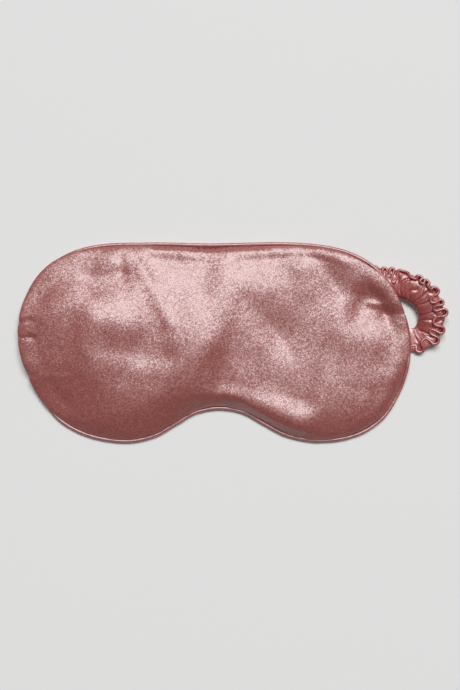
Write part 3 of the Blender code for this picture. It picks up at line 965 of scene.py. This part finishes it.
def frill_part(start, end):
    """The ruffled heading on the casing's outer side: a fold of cloth that runs to and fro."""
    steps = int((end - start) / FRILL_PITCH * FRILL_STEPS)
    s = np.linspace(start, end, steps)
    middle, half, wide, seen = strap_read(s, Strap.middle, Strap.half, Strap.wide, Strap.seen)
    upper = rise(s, UPPER_FROM, UPPER_FADE) * ease((STRAP_SEEN - s) / UPPER_FADE)
    phase = 2 * math.pi * s / FRILL_PITCH * FRILL_RATE + uneven(s, 0 * s, *FRILL_WANDER)
    swing = FRILL_REACH * (FRILL_SHARE + uneven(s, 0 * s, *FRILL_UNEVEN)) * (1.0 - UPPER_CALM * upper)
    swing = swing * (FRILL_END_SHARE + (1.0 - FRILL_END_SHARE) * strap_ends(s))
    across = wide * (FRILL_PLACE + UPPER_PLACE * upper) + swing * np.cos(phase)
    path = np.stack(strap_plan(s + FRILL_CURL * np.sin(2 * phase), across), axis=1)
    along = np.gradient(path, axis=0)
    along /= np.linalg.norm(along, axis=1)[:, None]
    share = np.clip(across / wide, -FRILL_LIMIT, FRILL_LIMIT)
    lean = STRAP_LEAN * share * seen
    foot = middle + lean + half * np.sqrt(1.0 - share ** 2) - FRILL_ROOT
    crest = middle + CREST_LEAN * lean + half + (CREST_RISE + CREST_SEEN_RISE * seen) * strap_ends(s)
    crest = crest + uneven(s, 0 * s, *CREST_UNEVEN) * seen
    crest = crest - CREST_DROP * seen * np.maximum(share - CREST_DROP_FROM, 0.0)
    points = []
    for aside, up in FRILL_SECTION:
        x = path[:, 0] + along[:, 1] * aside
        y = path[:, 1] - along[:, 0] * aside
        points.append(row(x, y, np.maximum(foot, FRILL_GROUND) + (crest - foot) * up))
    return np.vstack(points), grid_quads(steps, len(FRILL_SECTION))


def strand(stations, aside, across, up):
    """Closed strand inside the casing, from its section's points across and up."""
    s = stations[:, None] + 0 * across[None, :]
    (middle,) = strap_read(s, Strap.middle)
    x, y = strap_plan(s, aside + across[None, :] + 0 * s)
    z = middle + up
    sides = len(across)
    faces = tube_quads(len(stations), sides, False).tolist()
    last = (len(stations) - 1) * sides
    faces.append(list(range(sides)))
    faces.append(list(range(last + sides - 1, last - 1, -1)))
    return row(x.ravel(), y.ravel(), z.ravel()), faces


def elastic_part(stations):
    """The flat elastic inside the casing, with rounded selvedges."""
    angle = 2 * math.pi * (np.arange(ELASTIC_SIDES) + 0.5) / ELASTIC_SIDES
    flat = np.sign(np.cos(angle)) * np.abs(np.cos(angle)) ** ELASTIC_SQUARENESS
    high = np.sign(np.sin(angle)) * np.abs(np.sin(angle)) ** ELASTIC_SQUARENESS
    (full,) = strap_read(stations[:, None], Strap.full)
    half = ELASTIC_END_HALF_HEIGHT + (ELASTIC_HALF_HEIGHT - ELASTIC_END_HALF_HEIGHT) * full
    return strand(stations, 0.0, ELASTIC_HALF_WIDTH * flat, half * high[None, :])


def seam_part(stations):
    """The thread of the casing's long seam, inside the tube."""
    angle = 2 * math.pi * np.arange(SEAM_SIDES) / SEAM_SIDES
    across, up = FINE_THREAD * np.cos(angle), FINE_THREAD * np.sin(angle)[None, :]
    return strand(stations, CASING_SEAM_OFFSET, across, up)


def turn_end(piece):
    """Bakes the placing of a piece at one of the sewn ends into its mesh."""
    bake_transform(piece)


def strap_spans(stations):
    """First and last station of the strap's three lengths."""
    first = int(np.searchsorted(stations, SPLIT_RIGHT))
    last = int(np.searchsorted(stations, Strap.end - SPLIT_LEFT))
    return {"right": (0, first), "middle": (first, last), "left": (last, len(stations) - 1)}


def casing_piece(name, stations):
    """One length of the casing, with its ruffled heading."""
    tube, tube_faces = casing_part(stations)
    start, end = max(stations[0], FRILL_START), min(stations[-1], Strap.end - FRILL_SHORT)
    wall, wall_faces = frill_part(start, end)
    faces = np.vstack([tube_faces, wall_faces + len(tube)]).tolist()
    casing = new_piece(name, np.vstack([tube, wall]), faces)
    solidify(casing, CASING_CLOTH, INWARDS)
    return casing


def make_strap(look, elastic_look, thread_look):
    """The strap in three lengths: the sewn ends ride no body, the middle rides the strap."""
    seen = np.linspace(0.0, STRAP_SEEN, SEEN_STATIONS)
    hidden = np.linspace(STRAP_SEEN, Strap.end, HIDDEN_STATIONS)[1:]
    stations = np.concatenate([seen, hidden])
    for side, (a, b) in strap_spans(stations).items():
        casing = casing_piece("strap_casing_" + side, stations[a:b + 1])
        inner = stations[a:b + 1:INNER_STEP]
        elastic = new_piece("strap_elastic_" + side, *elastic_part(inner))
        thread = new_piece("strap_seam_" + side, *seam_part(inner))
        for piece, its_look, slot, node in ((casing, look, "satin_strap", "strap_casing"),
                                            (elastic, elastic_look, "elastic", "strap_elastic"),
                                            (thread, thread_look, "thread", "casing_seam_thread")):
            if side == "middle":
                dress(piece, its_look, "strap", slot, node)
            else:
                dress(piece, its_look, None, slot)
                turn_end(piece)


def make_bartacks(look):
    """The zigzag threads that hold the strap's sewn ends at the mask's seams."""
    ends = {"right": (STRAP_ROUTE[0], -1.0), "left": (STRAP_ROUTE[-1], 1.0)}
    for side, ((end_x, end_y), inwards) in ends.items():
        k = np.arange(2 * TACK_STITCHES + 1)
        x = end_x + inwards * TACK_WIDTH * (TACK_START + k % 2)
        y = end_y + STRAP_END_HALF_WIDTH * TACK_SPAN * (k / TACK_STITCHES - 1.0)
        line = thread_curve("zigzag", row(x, y, np.full(k.shape, TACK_HEIGHT)), FINE_THREAD)
        mesh = bpy.data.meshes.new_from_object(line)
        bpy.data.objects.remove(line)
        piece = show("bartack_thread_" + side, mesh)
        dress(piece, look, None, "thread", "bartack_" + side)
        turn_end(piece)


def dress_cad(looks):
    """Gives the CAD nodes that stay their finished materials."""
    for node, look in looks.items():
        piece = next(o for o in bpy.context.scene.objects if o.get("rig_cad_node") == node)
        for slot in piece.material_slots:
            slot.material = look


def make_stage():
    """White ground under the mask."""
    mesh = bpy.data.meshes.new("floor")
    wide = FLOOR_HALF
    corners = [(-wide, -wide, 0), (wide, -wide, 0), (wide, wide, 0), (-wide, wide, 0)]
    mesh.from_pydata(corners, [], [(0, 1, 2, 3)])
    floor = show("floor", mesh)
    look, _, _, bsdf, _ = shader_of("floor_white", roughness=0.7)
    bsdf.inputs["Base Color"].default_value = FLOOR_COLOUR
    mesh.materials.append(look)


def add_light(name, place, size, power):
    """Softbox at a place, facing the origin."""
    lamp = bpy.data.lights.new(name, "AREA")
    lamp.shape = "RECTANGLE"
    lamp.size, lamp.size_y = size
    lamp.energy = power
    holder = show(name, lamp)
    holder.location = place
    holder.rotation_mode = "QUATERNION"
    holder.rotation_quaternion = (Vector() - Vector(place)).to_track_quat("-Z", "Y")


def make_light():
    """Dim white surroundings, a large key light far beyond the top edge, a weak one overhead."""
    world = bpy.data.worlds.new("studio")
    world.use_nodes = True
    background = world.node_tree.nodes["Background"]
    background.inputs["Color"].default_value = (1.0, 1.0, 1.0, 1)
    background.inputs["Strength"].default_value = WORLD_STRENGTH
    bpy.context.scene.world = world
    bpy.context.scene.view_settings.view_transform = "Standard"
    add_light("key", KEY_PLACE, KEY_SIZE, KEY_POWER)
    add_light("top", TOP_PLACE, TOP_SIZE, TOP_POWER)


def make_camera():
    """The scene's camera, looking straight down."""
    camera = show("camera", bpy.data.cameras.new("camera"))
    camera.data.lens = LENS
    camera.data.sensor_width = SENSOR
    distance = VIEW_HEIGHT * LENS / SENSOR
    x, y = (VIEW_CENTRE[k] + SHIFT[k] for k in (0, 1))
    camera.location = (x * MM, y * MM, (distance + PANEL_LEVEL) * MM)
    camera.rotation_euler = (0.0, 0.0, 0.0)
    camera.data.clip_start = CLIP_START
    bpy.context.scene.camera = camera


make_camera()
make_stage()
make_light()
front_look = satin("satin_front_rose", ROSE_DARK, ROSE_LIGHT)
back_look = satin("satin_back_rose", ROSE_DARK, ROSE_LIGHT)
piping_look = satin("satin_piping_rose", PIPING_DARK, PIPING_LIGHT, roughness=0.42, grain=0.4)
# The strap's satin carries painted shade: its colours are more saturated than the panels' same satin.
shaded_strap_look = satin("satin_strap_rose_painted_shade", STRAP_SHADED_DARK, STRAP_SHADED_LIGHT, roughness=0.38, grain=0.3,
                   sheen=STRAP_SHEEN)
thread_look = plain_weave("thread_rose", THREAD_DARK, THREAD_LIGHT, scale=900.0, roughness=0.55)
lining_look = plain_weave("lining_black", LINING_DARK, LINING_LIGHT, scale=500.0)
elastic_look = plain_weave("elastic_white", ELASTIC_DARK, ELASTIC_LIGHT, scale=350.0)
wadding_look = fibrous("wadding_white", WADDING_DARK, WADDING_LIGHT, scale=300.0)
cord_look = fibrous("cord_cotton", CORD_DARK, CORD_LIGHT, scale=700.0)

make_panels(front_look, back_look)
make_piping(piping_look)
make_fillings(wadding_look, lining_look)
make_closing_thread(thread_look)
make_strap(shaded_strap_look, elastic_look, thread_look)
make_bartacks(thread_look)
dress_cad({"piping_cord": cord_look, "seam_thread": thread_look})

bpy.context.view_layer.update()
